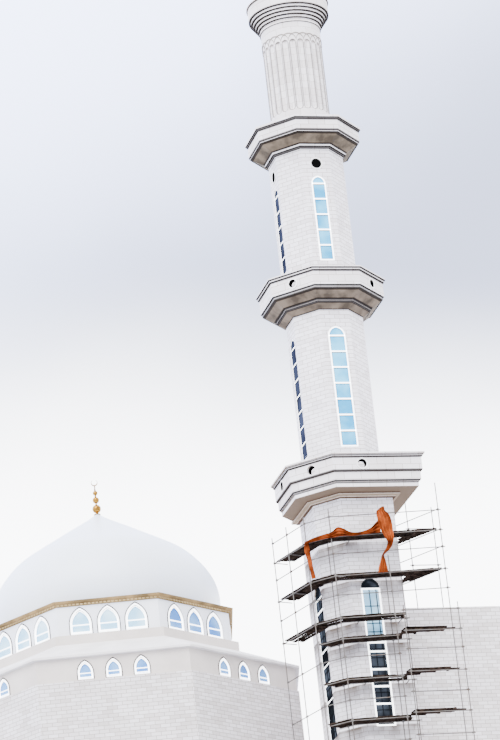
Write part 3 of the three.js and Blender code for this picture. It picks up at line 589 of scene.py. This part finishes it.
# Fluted column: one drum of limestone with 24 round-ended hollows cut in by a ball-nosed cutter. A fine
# dark line round each hollow and in the hollows along the rim is painted shade, as are the dark bands
# at 36.98 and 43.1 m.
COLUMN, CORE = 1.6, 1.3
COLUMN_FOOT, COLUMN_TOP = 36.32, 43.1
FLUTES, FLUTE_FOOT, FLUTE_TOP, FLUTE_RADIUS, FLUTE_MOUTH = 24, 38.15, 41.9, 0.2, 0.181
GROOVE_SHADE = "4A433E"
column_stone = stone_finish("fluted_limestone", "EAE6E8", "D6D0CF", "C1B9B6", radius=COLUMN * HALF,
                            course=0.2, block=0.42, soffit="B8AFAA", shade="A89F99", edge=GROOVE_SHADE,
                            lines=((36.98, 37.03), (43.1, 43.15)))
tree = column_stone.node_tree
shader = tree.nodes["Principled BSDF"]
x, y, z = add(tree, "ShaderNodeSeparateXYZ", {0: object_place(tree)}).outputs
count = maths(tree, "MULTIPLY", maths(tree, "ARCTAN2", y, x), FLUTES / math.tau)
count = maths(tree, "FRACT", maths(tree, "ADD", count, 0.5))
wide = maths(tree, "MULTIPLY", maths(tree, "SUBTRACT", count, 0.5), math.tau * COLUMN * HALF / FLUTES)
held = add(tree, "ShaderNodeClamp", {"Value": z, "Min": FLUTE_FOOT * HALF, "Max": FLUTE_TOP * HALF})
tall = maths(tree, "SUBTRACT", z, held.outputs[0])
across = add(tree, "ShaderNodeCombineXYZ", {0: wide, 1: tall})
away = add(tree, "ShaderNodeVectorMath", {0: across.outputs[0]}, operation="LENGTH").outputs["Value"]
# Painted shade: a dark line round each flute's mouth, below the flute tops.
ring = maths(tree, "ABSOLUTE", maths(tree, "SUBTRACT", away, FLUTE_MOUTH * HALF))
ring = ranged(tree, ring, 0.012 * HALF, 0.02 * HALF, 0.75, 0.0)
below = ranged(tree, z, (FLUTE_TOP - 0.05) * HALF, (FLUTE_TOP + 0.05) * HALF, 1.0, 0.0)
plain = shader.inputs["Base Color"].links[0].from_socket
lined = blend(tree, maths(tree, "MULTIPLY", ring, below), plain, tint(GROOVE_SHADE))
tree.links.new(lined, shader.inputs["Base Color"])
outline = [(CORE, COLUMN_FOOT), (COLUMN, COLUMN_FOOT), (COLUMN, COLUMN_TOP), (CORE, COLUMN_TOP),
           (CORE, COLUMN_FOOT)]
shaft = piece("fluted_shaft", turned(outline, 144), (column_stone,), ("fluted_column",))
cutters = bmesh.new()
for i in range(FLUTES):
    turn = i * math.tau / FLUTES
    angles = [k * math.pi / 12 for k in range(13)]
    ball = [(FLUTE_RADIUS * math.sin(a), FLUTE_FOOT - FLUTE_RADIUS * math.cos(a)) for a in angles[:7]]
    cap = [(FLUTE_RADIUS * math.sin(a), FLUTE_TOP - FLUTE_RADIUS * math.cos(a)) for a in angles[6:]]
    reach = COLUMN + 0.09
    put(cutters, turned(ball + cap, 16, (reach * math.cos(turn), reach * math.sin(turn))))
cutter = piece("flute_cutter", cutters, (column_stone,))
hollow = shaft.modifiers.new("flutes", "BOOLEAN")
hollow.object = cutter
hollow.operation = "DIFFERENCE"
hollow.solver = "EXACT"
bpy.context.view_layer.update()
carved = bpy.data.meshes.new_from_object(shaft.evaluated_get(bpy.context.evaluated_depsgraph_get()))
shaft.modifiers.clear()
shaft.data = carved
bpy.data.objects.remove(cutter)

# Carved arcade over the flutes: thin raised ribs that cross one another, each arch spanning two of
# the hollows. Their stone is painted dark grey, darker still below, as painted shade.
rib_stone = stone_finish("carved_rib_limestone_painted_shade", "8E8680", "7C746E", "7A726C", soffit=GROOVE_SHADE,
                         shade="3E3732")
RIB_SPAN = 0.419
arcade = bmesh.new()
for i in range(FLUTES):
    mesh = bmesh.new()
    rows = []
    for k in range(13):
        a = math.pi * k / 12
        start = (i + 0.5) * math.tau / FLUTES + RIB_SPAN / COLUMN * math.cos(a)
        low, high = 42.0 + 0.4 * math.sin(a), 42.035 + 0.42 * math.sin(a)
        rows.append([mesh.verts.new(((COLUMN + deep) * math.cos(start), (COLUMN + deep) * math.sin(start), z))
                     for deep, z in ((-0.01, low), (0.022, low), (0.022, high), (-0.01, high))])
    for before, after in zip(rows, rows[1:]):
        for k in range(4):
            mesh.faces.new((before[k], before[(k + 1) % 4], after[(k + 1) % 4], after[k]))
    mesh.faces.new(rows[0])
    mesh.faces.new(rows[-1])
    put(arcade, mesh)
piece("column_arcade", arcade, (rib_stone,))

# Capital: turned blocks of limestone set on the column, a neck bead under four round-edged rings that
# step outward. The gallery's plain parapet stands on the top ring. The dark bands at the foot of each
# ring and under the coping, and the dark undersides, are painted shade.
RINGS, RING_FOOT, RING_HEIGHT, RING_STEP = 4, 43.31, 0.16, 0.11
CAPITAL_TOP, PARAPET_TOP = 43.95, 44.75
lines = [(RING_FOOT + RING_HEIGHT * i, RING_FOOT + 0.03 + RING_HEIGHT * i) for i in range(RINGS + 1)]
capital_stone = stone_finish("turned_limestone", "ECE7E8", "DDD6D4", "BCB3AE", radius=1.2, course=0.2,
                             block=0.5, shade="2C2420", soffit="6E5F56", lines=lines + [(44.6, 44.64)])
profile = [(CORE, COLUMN_TOP), (COLUMN, COLUMN_TOP), (1.66, 43.12), (1.66, 43.18), (1.62, 43.2),
           (1.62, RING_FOOT)]
for i in range(RINGS):
    r, z = 1.73 + RING_STEP * i, RING_FOOT + RING_HEIGHT * i
    profile += [(r - 0.01, z), (r, z + 0.02), (r, z + 0.12), (r - 0.02, z + RING_HEIGHT)]
profile += [(CORE, CAPITAL_TOP), (CORE, COLUMN_TOP)]
piece("turned_capital", turned(profile, 96), (capital_stone,), ("column_capital",))
parapet = [(1.95, CAPITAL_TOP), (2.17, CAPITAL_TOP), (2.17, 44.62), (2.21, 44.64), (2.23, 44.67),
           (2.23, 44.73), (2.21, PARAPET_TOP), (1.95, PARAPET_TOP), (1.95, CAPITAL_TOP)]
piece("turned_parapet", turned(parapet, 96), (capital_stone,), ("gallery_parapet",))
dress(capital_stone, "lantern_wall")


# Domes: smooth shells of white glass-fibre panels, bolted together along the meridians. The eye gets
# a soft blue-white sheen with faint seams.
def shell_finish(name, centre, panels):
    material, tree, shader = finish_named(name, 0.38)
    place = object_place(tree)
    x, y, z = add(tree, "ShaderNodeSeparateXYZ", {0: place}).outputs
    dx, dy = maths(tree, "SUBTRACT", x, centre[0]), maths(tree, "SUBTRACT", y, centre[1])
    turn = maths(tree, "MULTIPLY", maths(tree, "ARCTAN2", dy, dx), panels / math.tau)
    seam = ranged(tree, maths(tree, "PINGPONG", turn, 1.0), 0.0, 0.04, 0.97, 1.0)
    soft = ranged(tree, noise(tree, place, 0.5, 4.0), 0.3, 0.7, 1.0, 0.95)
    shade = scaled(tree, tint("E6EEFA")[:3], maths(tree, "MULTIPLY", seam, soft))
    tree.links.new(shade, shader.inputs["Base Color"])
    return material


def curve_point(a, b, c, d, t):
    bend = 2 * a - 5 * b + 4 * c - d
    turn = 3 * b - a - 3 * c + d
    return 0.5 * (2 * b + (c - a) * t + bend * t * t + turn * t ** 3)


def smooth_line(points, steps=6):
    line = []
    ends = [points[0]] + points + [points[-1]]
    for i in range(1, len(ends) - 2):
        for k in range(steps):
            p = curve_point(*(Vector(p) for p in ends[i - 1:i + 3]), k / steps)
            line.append((max(p.x, 0.0), p.y))
    return line + [points[-1]]


PANELS = 16
dome_line = [(5.88, 13.39), (6.05, 14.0), (6.13, 14.7), (6.05, 15.3), (5.85, 15.85), (5.44, 16.5),
             (4.71, 17.28), (3.67, 17.98), (2.8, 18.52), (1.96, 19.05), (1.0, 19.63), (0.45, 19.98),
             (0.1, 20.25)]
inside = [(0.0, 20.26), (0.0, 20.1), (1.9, 18.75), (3.5, 17.75), (5.2, 16.3), (5.88, 14.7), (5.68, 13.39),
          dome_line[0]]
white_shell = shell_finish("white_gelcoat_panels", (HALL_X * HALF, HALL_Y * HALF), PANELS)
piece("hall_dome", turned(smooth_line(dome_line) + inside, 128, (HALL_X, HALL_Y)), (white_shell,),
      ("main_dome",), smooth=True)
small_line = [(1.3, 46.51), (1.4, 46.75), (1.42, 47.05), (1.33, 47.5), (1.12, 47.9), (0.8, 48.25),
              (0.45, 48.55), (0.2, 48.85), (0.09, 49.15)]
inside = [(0.0, 49.15), (0.0, 48.75), (0.7, 48.05), (1.18, 47.45), (1.12, 46.51), (1.3, 46.51)]
small_shell = shell_finish("white_gelcoat_cap", (0.0, 0.0), PANELS)
piece("cap_dome", turned(smooth_line(small_line) + inside, 64), (small_shell,), ("minaret_dome",),
      smooth=True)

# Finials: three spun brass balls threaded on a stem under a thin crescent, gilded and polished, and
# worn darker in patches. Each stands on the top of its dome.
gilding, tree, shader = finish_named("polished_gilding", 0.22, 1.0)
wear = noise(tree, object_place(tree), 14.0, 5.0)
two_tones(tree, shader, ranged(tree, wear, 0.35, 0.7), "A87A2C", "6E4E20")
tree.links.new(ranged(tree, wear, 0.0, 1.0, 0.16, 0.38), shader.inputs["Roughness"])


def finial(foot, unit, centre, turn):
    line = [(0.2, 0.0), (0.16, 0.03), (0.09, 0.06)]
    for z, r in ((0.34, 0.25), (0.87, 0.19), (1.3, 0.14)):
        angles = [math.radians(-80 + 16 * k) for k in range(11)]
        line += [(max(0.04, r * math.cos(a)), z + r * math.sin(a)) for a in angles]
        line += [(0.045, z + r + 0.03), (0.07, z + r + 0.05), (0.045, z + r + 0.07)]
    line += [(0.035, 1.5), (0.03, 1.78), (0.0, 1.78)]
    mesh = turned([(0.0, foot)] + [(r * unit, foot + z * unit) for r, z in line], 32, centre)
    angles = [math.radians(118 + 304 * k / 40) for k in range(41)]
    outer = [(0.19 * math.cos(a), 0.19 * math.sin(a)) for a in angles]
    inner = [(0.158 * math.cos(a), 0.158 * math.sin(a) + 0.027) for a in angles[39:0:-1]]
    moon = sheet_of([(x * unit, y * unit) for x, y in outer + inner], -0.02 * unit)
    raise_faces(moon, moon.faces[:], 0.04 * unit)
    put(mesh, moon, wall_place(turn, 0.0, 0.0, *centre) @ Matrix.Translation((0, foot + 1.92 * unit, 0)))
    return mesh


piece("gilded_hall_finial", finial(20.252, 0.95, (HALL_X, HALL_Y), -104), (gilding,), ("dome_finial",),
      smooth=True)
piece("gilded_minaret_finial", finial(49.152, 0.7, (0.0, 0.0), -103), (gilding,), ("minaret_finial",),
      smooth=True)

# Drum cornice: ochre sandstone, carved with a row of small hanging leaves under a plain fillet and
# set on top of the drum's wall.
# Painted shade: the cornice's undersides take the darker soffit and shade colours.
carved_stone = stone_finish("carved_sandstone", "B39C70", "8E7A55", "6E5C3E", course=0.5, block=0.6,
                            soffit="7A6442", shade="4A3C28")
dress(carved_stone, "drum_cornice")
LEAVES = 26
leaves = bmesh.new()
for face in range(8):
    turn = HALL_TURN + 45 * face
    for i in range(LEAVES):
        along = (i - (LEAVES - 1) / 2) * 5.3 / LEAVES
        leaf = sheet_of(arch(0.15, 0.0, 0.17, 3))
        bmesh.ops.transform(leaf, matrix=Matrix.Rotation(math.pi, 4, "Z"), verts=leaf.verts)
        raise_faces(leaf, leaf.faces[:], 0.05)
        put(leaves, leaf, wall_place(turn, 6.46, along, HALL_X, HALL_Y) @ Matrix.Translation((0, 13.3, 0)))
piece("cornice_leaves", leaves, (carved_stone,))

# Scaffold: galvanised steel tubes joined by couplers, weathered to a dull grey. The line of its
# outer uprights runs from the back left round to the front right.
tube_steel, tree, shader = finish_named("galvanised_tube", 0.6, 0.2)
rust = noise(tree, object_place(tree), 5.0, 6.0)
two_tones(tree, shader, ranged(tree, rust, 0.5, 0.72), "5A5652", "4A3A30")
LEFT_END, LEFT_CORNER, CORNER, RIGHT_CORNER = (-3.85, 1.05), (-2.95, -1.95), (-1.9, -2.95), (3.68, -3.8)
WALL_END, BAY_LEFT, BAY_RIGHT = (1.945, -0.94), (1.1, -4.12), (3.95, -4.22)
STEP, INNER, TUBE, MIDDLE_POST = 0.05, 0.8, 0.027, 0.495
COUPLER, FOOT_PLATE = (0.11, 0.11, 0.08), (0.15, 0.15, 0.012)
under = [z - 0.03 for z in DECKS]
high_rails = [14.4, under[0], 12.4, under[1], 10.2]
low_rails = [under[3], 6.9, under[4], 4.65, under[5], 2.4]


def shifted(line, distance):
    line = [Vector(p) for p in line]
    moved = []
    for i, p in enumerate(line):
        ways = [(b - a).normalized() for a, b in zip(line[max(i - 1, 0):i + 1], line[max(i, 1):i + 2])]
        if len(ways) > 1:
            middle = (ways[0] + ways[1]).normalized()
            reach = distance / middle.dot(ways[0])
        else:
            middle, reach = ways[0], distance
        moved.append(p + Vector((-middle.y, middle.x)) * reach)
    return moved


def between(p, q, t):
    return Vector(p).lerp(Vector(q), t)


def pipe(mesh, p, q):
    p, q = Vector(p), Vector(q)
    turn = (q - p).to_track_quat("Z", "Y").to_matrix().to_4x4()
    bmesh.ops.create_cone(mesh, cap_ends=True, segments=8, radius1=TUBE, radius2=TUBE, depth=(q - p).length,
                          matrix=Matrix.Translation((p + q) / 2) @ turn)


def scaffold(name, node, posts, rails):
    mesh = bmesh.new()
    for (x, y), low, high in posts:
        pipe(mesh, (x, y, low), (x, y, high))
        if low < 1:
            slab(mesh, FOOT_PLATE, (x, y, 0.008))
    for p, q, z, before, after in rails:
        way = (Vector(q) - Vector(p)).normalized()
        p, q = Vector(p) - way * before, Vector(q) + way * after
        pipe(mesh, (*p, z), (*q, z))
        for post, low, high in posts:
            near = Vector(post)
            reach = (near - p).dot(way)
            foot = p + way * reach
            if -0.02 < reach < (q - p).length + 0.02 and (foot - near).length < 0.12 and low < z < high:
                slab(mesh, COUPLER, ((foot.x + near.x) / 2, (foot.y + near.y) / 2, z))
    piece(name, mesh, (tube_steel,), (node,))


front, slant, back = (shifted(line, STEP) for line in ([CORNER, RIGHT_CORNER], [LEFT_CORNER, CORNER],
                                                       [RIGHT_CORNER, WALL_END]))
rails = [(*front, z, 0.05, 0.15) for z in high_rails] + [(*back, z, 0, -0.14) for z in high_rails[:4]]
rails += [(front[0], between(*front, 0.6), under[2], 0.05, 0)]
rails += [(front[0], between(*front, MIDDLE_POST), z, 0.05, 0.12) for z in low_rails]
rails += [(*slant, z, -0.12, 0.05) for z in high_rails + [under[2]] + low_rails]
posts = [(CORNER, 0, 14.8), (between(CORNER, RIGHT_CORNER, MIDDLE_POST), 0, 12.15), (RIGHT_CORNER, 0, 15.85)]
scaffold("front_tubes", "scaffold_front_frame", posts, rails)
bay = shifted([BAY_LEFT, BAY_RIGHT], STEP)
scaffold("bay_tubes", "scaffold_bay_frame", [(BAY_LEFT, 0, 9.2), (BAY_RIGHT, 0, 9.3)],
         [(*bay, z, 0.12, 0.12) for z in [8.95] + low_rails])
inner_line, post_line = (shifted([LEFT_CORNER, CORNER, RIGHT_CORNER], d) for d in (INNER, INNER + 0.055))
rails = []
for z in under:
    rails += [(inner_line[0], inner_line[1], z, -0.3, 0.02),
              (inner_line[1], between(inner_line[1], inner_line[2], 0.63), z, 0.02, 0)]
for x in (-0.75, 1.45):
    start = between(inner_line[1], inner_line[2], (x - inner_line[1].x) / (inner_line[2].x - inner_line[1].x))
    rails += [(start, (x, -1.945), z, 0, 0) for z in (under[0], under[2], under[4])]
posts = [(between(post_line[k], post_line[k + 1], share), 0, top)
         for k, share, top in ((0, 0.66, 13.3), (1, 0.45, 11.2), (1, 0.6, 11.2))]
scaffold("inner_tubes", "scaffold_inner_frame", posts, rails)
left = shifted([LEFT_END, LEFT_CORNER], STEP)
posts = [(LEFT_END, 0, 14.68), (between(LEFT_END, LEFT_CORNER, 0.45), 0, 14.8), (LEFT_CORNER, 0, 14.75)]
inward = (left[0] - Vector(LEFT_END)) / STEP
scaffold("left_tubes", "scaffold_left_frame", posts,
         [(*left, z, 0.12, 0) for z in high_rails + [under[2], 6.9, 4.65, 2.4]]
         + [(post[0], Vector(post[0]) + inward * INNER, z, 0, 0) for post in posts[:2] for z in under[:3]])
scaffold("roof_tubes", "scaffold_roof_frame", [((3.42, 0.6), 9.66, 16.85), ((4.8, 0.6), 9.66, 16.1)],
         [((3.42, 0.55), (4.8, 0.55), z, 0.15, 0.15) for z in (14.9, 12.9)])

# Decks: rough spruce boards, greyed, laid loosely side by side on the scaffold's rails. Their
# ends are ragged and a few of them overlap. Their near-black tone is painted shade, as the boards are
# seen from below.
board_wood, tree, shader = finish_named("weathered_spruce_board", 0.85)
shader.inputs["Specular IOR Level"].default_value = 0.0
grain = noise(tree, object_place(tree), 9.0, 8.0, 0.6)
# Painted shade: near-black board tones for boards seen from below, over the greyed wood.
two_tones(tree, shader, ranged(tree, grain, 0.35, 0.65), "120D0B", "372D27")
roughen(tree, shader, grain, 0.5, 0.004)
chance = random.Random(7)


BOARD = 0.2


def planks(mesh, outline, start, end, level):
    way = (Vector(end) - Vector(start)).normalized()
    side = Vector((-way.y, way.x))
    outline = [Vector(p) for p in outline]
    reach = [(p - Vector(start)).dot(side) for p in outline]
    count = max(1, round((max(reach) - min(reach)) / BOARD))
    width = (max(reach) - min(reach)) / count
    for row in range(count):
        across = min(reach) + (row + 0.5) * width
        ends = []
        for a, b, p, q in zip(outline, outline[1:] + outline[:1], reach, reach[1:] + reach[:1]):
            if (p - across) * (q - across) < 0:
                ends.append((a.lerp(b, (across - p) / (q - p)) - Vector(start)).dot(way))
        at, last = min(ends), max(ends) + chance.uniform(-0.02, 0.06)
        while at < last - 0.1:
            size = min(chance.uniform(1.8, 3.2), last - at)
            middle = Vector(start) + way * (at + size / 2) + side * across
            thick = chance.uniform(0.04, 0.055)
            place = (Matrix.Translation((middle.x, middle.y, level + thick / 2 + chance.uniform(0.0, 0.06)))
                     @ Matrix.Rotation(math.atan2(way.y, way.x) + chance.uniform(-0.015, 0.015), 4, "Z")
                     @ Matrix.Rotation(chance.uniform(-0.015, 0.015), 4, "Y")
                     @ Matrix.Diagonal((size, width * 1.08, thick, 1)))
            bmesh.ops.create_cube(mesh, size=1.0, matrix=place)
            at += size - chance.uniform(0.0, 0.2)


line = [LEFT_END, LEFT_CORNER, CORNER, RIGHT_CORNER]
edge, hem = shifted(line, STEP), shifted(line, INNER + 0.2)
WALL_SIDE, FRONT_LONG = 1.99, 5.58
for i, z in enumerate(DECKS):
    mesh = bmesh.new()
    stop = 1.0 if i < 2 else 3.25 / FRONT_LONG if i == 2 else 2.96 / FRONT_LONG
    for k, (a, b) in enumerate(((0.02, 1.0), (0.0, 1.0), (0.0, stop))):
        if k == 0 and i > 2:
            continue
        corners = [between(edge[k], edge[k + 1], a), between(edge[k], edge[k + 1], b),
                   between(hem[k], hem[k + 1], b), between(hem[k], hem[k + 1], max(a, 0.12) if k == 0 else a)]
        if k == 2 and i < 2:
            share = (WALL_SIDE - hem[2].x) / (hem[3].x - hem[2].x)
            corners[1:3] = [edge[3], (WALL_SIDE, between(hem[2], hem[3], share).y)]
        planks(mesh, corners, edge[k], edge[k + 1], z)
    if i < 2:
        planks(mesh, [edge[3], (WALL_SIDE, -1.12), (WALL_SIDE, -2.66)], edge[3], (WALL_SIDE, -1.12), z)
    elif i > 2:
        start, end = (1.16, -4.04), (3.86, -4.14)
        planks(mesh, [(1.0, -3.36), start, end, (3.55, -3.92), (1.45, -3.25)], start, end, z)
        planks(mesh, [(1.0, -3.36), start, (3.3, -4.12), (3.1, -3.8), (1.45, -3.25)], start, end, z + 0.08)
    bmesh.ops.bevel(mesh, geom=mesh.edges[:], offset=0.006, offset_type="OFFSET", segments=1, profile=0.5,
                    affect="EDGES", material=-1)
    piece("deck_boards_%d" % (i + 1), mesh, (board_wood,), ("scaffold_deck_%d" % (i + 1),))

# Cloths: loose orange polyester, bunched along the edge of the top deck, thrown over the guard rail
# and knotted below it, and hung from the left corner. Each is one gathered strip.
cloth_weave, tree, shader = finish_named("orange_polyester_cloth", 0.8)
shader.inputs["Specular IOR Level"].default_value = 0.0
place = object_place(tree)
two_tones(tree, shader, ranged(tree, noise(tree, place, 4.0, 4.0), 0.35, 0.65), "4A1A0A", "A04E24")
roughen(tree, shader, noise(tree, place, 260.0, 1.0), 0.2, 0.001)


def on_side(p, q, u, z, out):
    way = (Vector(q) - Vector(p)).normalized()
    base = Vector(p) + way * u + Vector((way.y, -way.x)) * out
    return Vector((base.x, base.y, z))


def swing(width, flat, folds):
    low, high = 0.0, flat
    for _ in range(30):
        size = (low + high) / 2
        steps = [Vector((width * t / 64, size * math.sin(math.tau * folds * t / 64))) for t in range(65)]
        if sum((b - a).length for a, b in zip(steps, steps[1:])) < flat:
            low = size
        else:
            high = size
    return low


ROWS = 10


def gathered(stations, flat, folds, drift):
    mesh = bmesh.new()
    ends = [stations[0]] + stations + [stations[-1]]
    grid = []
    for i in range(1, len(ends) - 2):
        for k in range(ROWS + (i == len(ends) - 3)):
            t = k / ROWS
            mid, way, out, width = (curve_point(*four, t) for four in zip(*ends[i - 1:i + 3]))
            size = swing(width, flat, folds)
            turn = drift * (i + t)
            row = []
            for j in range(folds * 12 + 1):
                s = j / (folds * 12)
                deep = size * math.sin(math.tau * folds * s + turn)
                place = mid + way.normalized() * width * (s - 0.5) + out.normalized() * deep
                row.append(mesh.verts.new(place))
            grid.append(row)
    for a, b in zip(grid, grid[1:]):
        for j in range(len(a) - 1):
            mesh.faces.new((a[j], a[j + 1], b[j + 1], b[j]))
    return mesh


def hang(name, stations, flat, folds, drift, replaced=()):
    mesh = gathered(stations, flat, folds, drift)
    area = sum(f.calc_area() for f in mesh.faces)
    made = piece(name, mesh, (cloth_weave,), replaced, smooth=True)
    skin = made.modifiers.new("thickness", "SOLIDIFY")
    skin.thickness = 0.0015
    skin.offset = 0.0


UP = Vector((0, 0, 1))
way = (Vector(RIGHT_CORNER) - Vector(CORNER)).normalized()
along, out = Vector((way.x, way.y, 0)), Vector((way.y, -way.x, 0))
way = (Vector(CORNER) - Vector(LEFT_CORNER)).normalized()
slant_along, slant_out = Vector((way.x, way.y, 0)), Vector((way.y, -way.x, 0))
line = [(2.82, 14.72, 0.1), (2.68, 14.5, 0.42), (2.74, 14.3, 0.62), (2.8, 14.0, 0.7), (2.84, 13.7, 0.68),
        (2.88, 13.4, 0.6), (2.95, 13.1, 0.48), (2.98, 12.8, 0.3), (2.86, 12.5, 0.26), (2.64, 12.25, 0.16),
        (2.52, 12.1, 0.13), (2.5, 11.8, 0.28), (2.46, 11.5, 0.44), (2.44, 11.2, 0.52)]
stations = [(on_side(CORNER, RIGHT_CORNER, u, z, 0.11), along, out, w) for u, z, w in line]
hang("hanging_cloth", stations, 1.1, 4, 0.35, ("scaffold_cloth",))
line = [(0.05, 13.33, 0.12), (0.5, 13.36, 0.2), (1.1, 13.37, 0.24)]
stations = [(on_side(LEFT_CORNER, CORNER, u, z, 0.1), UP, slant_out, w) for u, z, w in line]
line = [(0.0, 13.36, 0.3), (0.35, 13.5, 0.5), (0.62, 13.47, 0.42), (0.95, 13.36, 0.22), (1.3, 13.33, 0.14),
        (1.7, 13.38, 0.16), (2.05, 13.45, 0.3), (2.35, 13.6, 0.55), (2.55, 13.7, 0.7)]
stations += [(on_side(CORNER, RIGHT_CORNER, u, z, 0.1), UP, out, w) for u, z, w in line]
hang("edge_cloth", stations, 0.95, 3, 0.2)
line = [(0.08, 13.4, 0.2), (0.07, 12.9, 0.3), (0.14, 12.4, 0.24), (0.2, 11.9, 0.2), (0.28, 11.34, 0.24)]
stations = [(on_side(LEFT_CORNER, CORNER, u, z, 0.1), slant_along, slant_out, w) for u, z, w in line]
hang("corner_cloth", stations, 0.6, 3, 0.3)
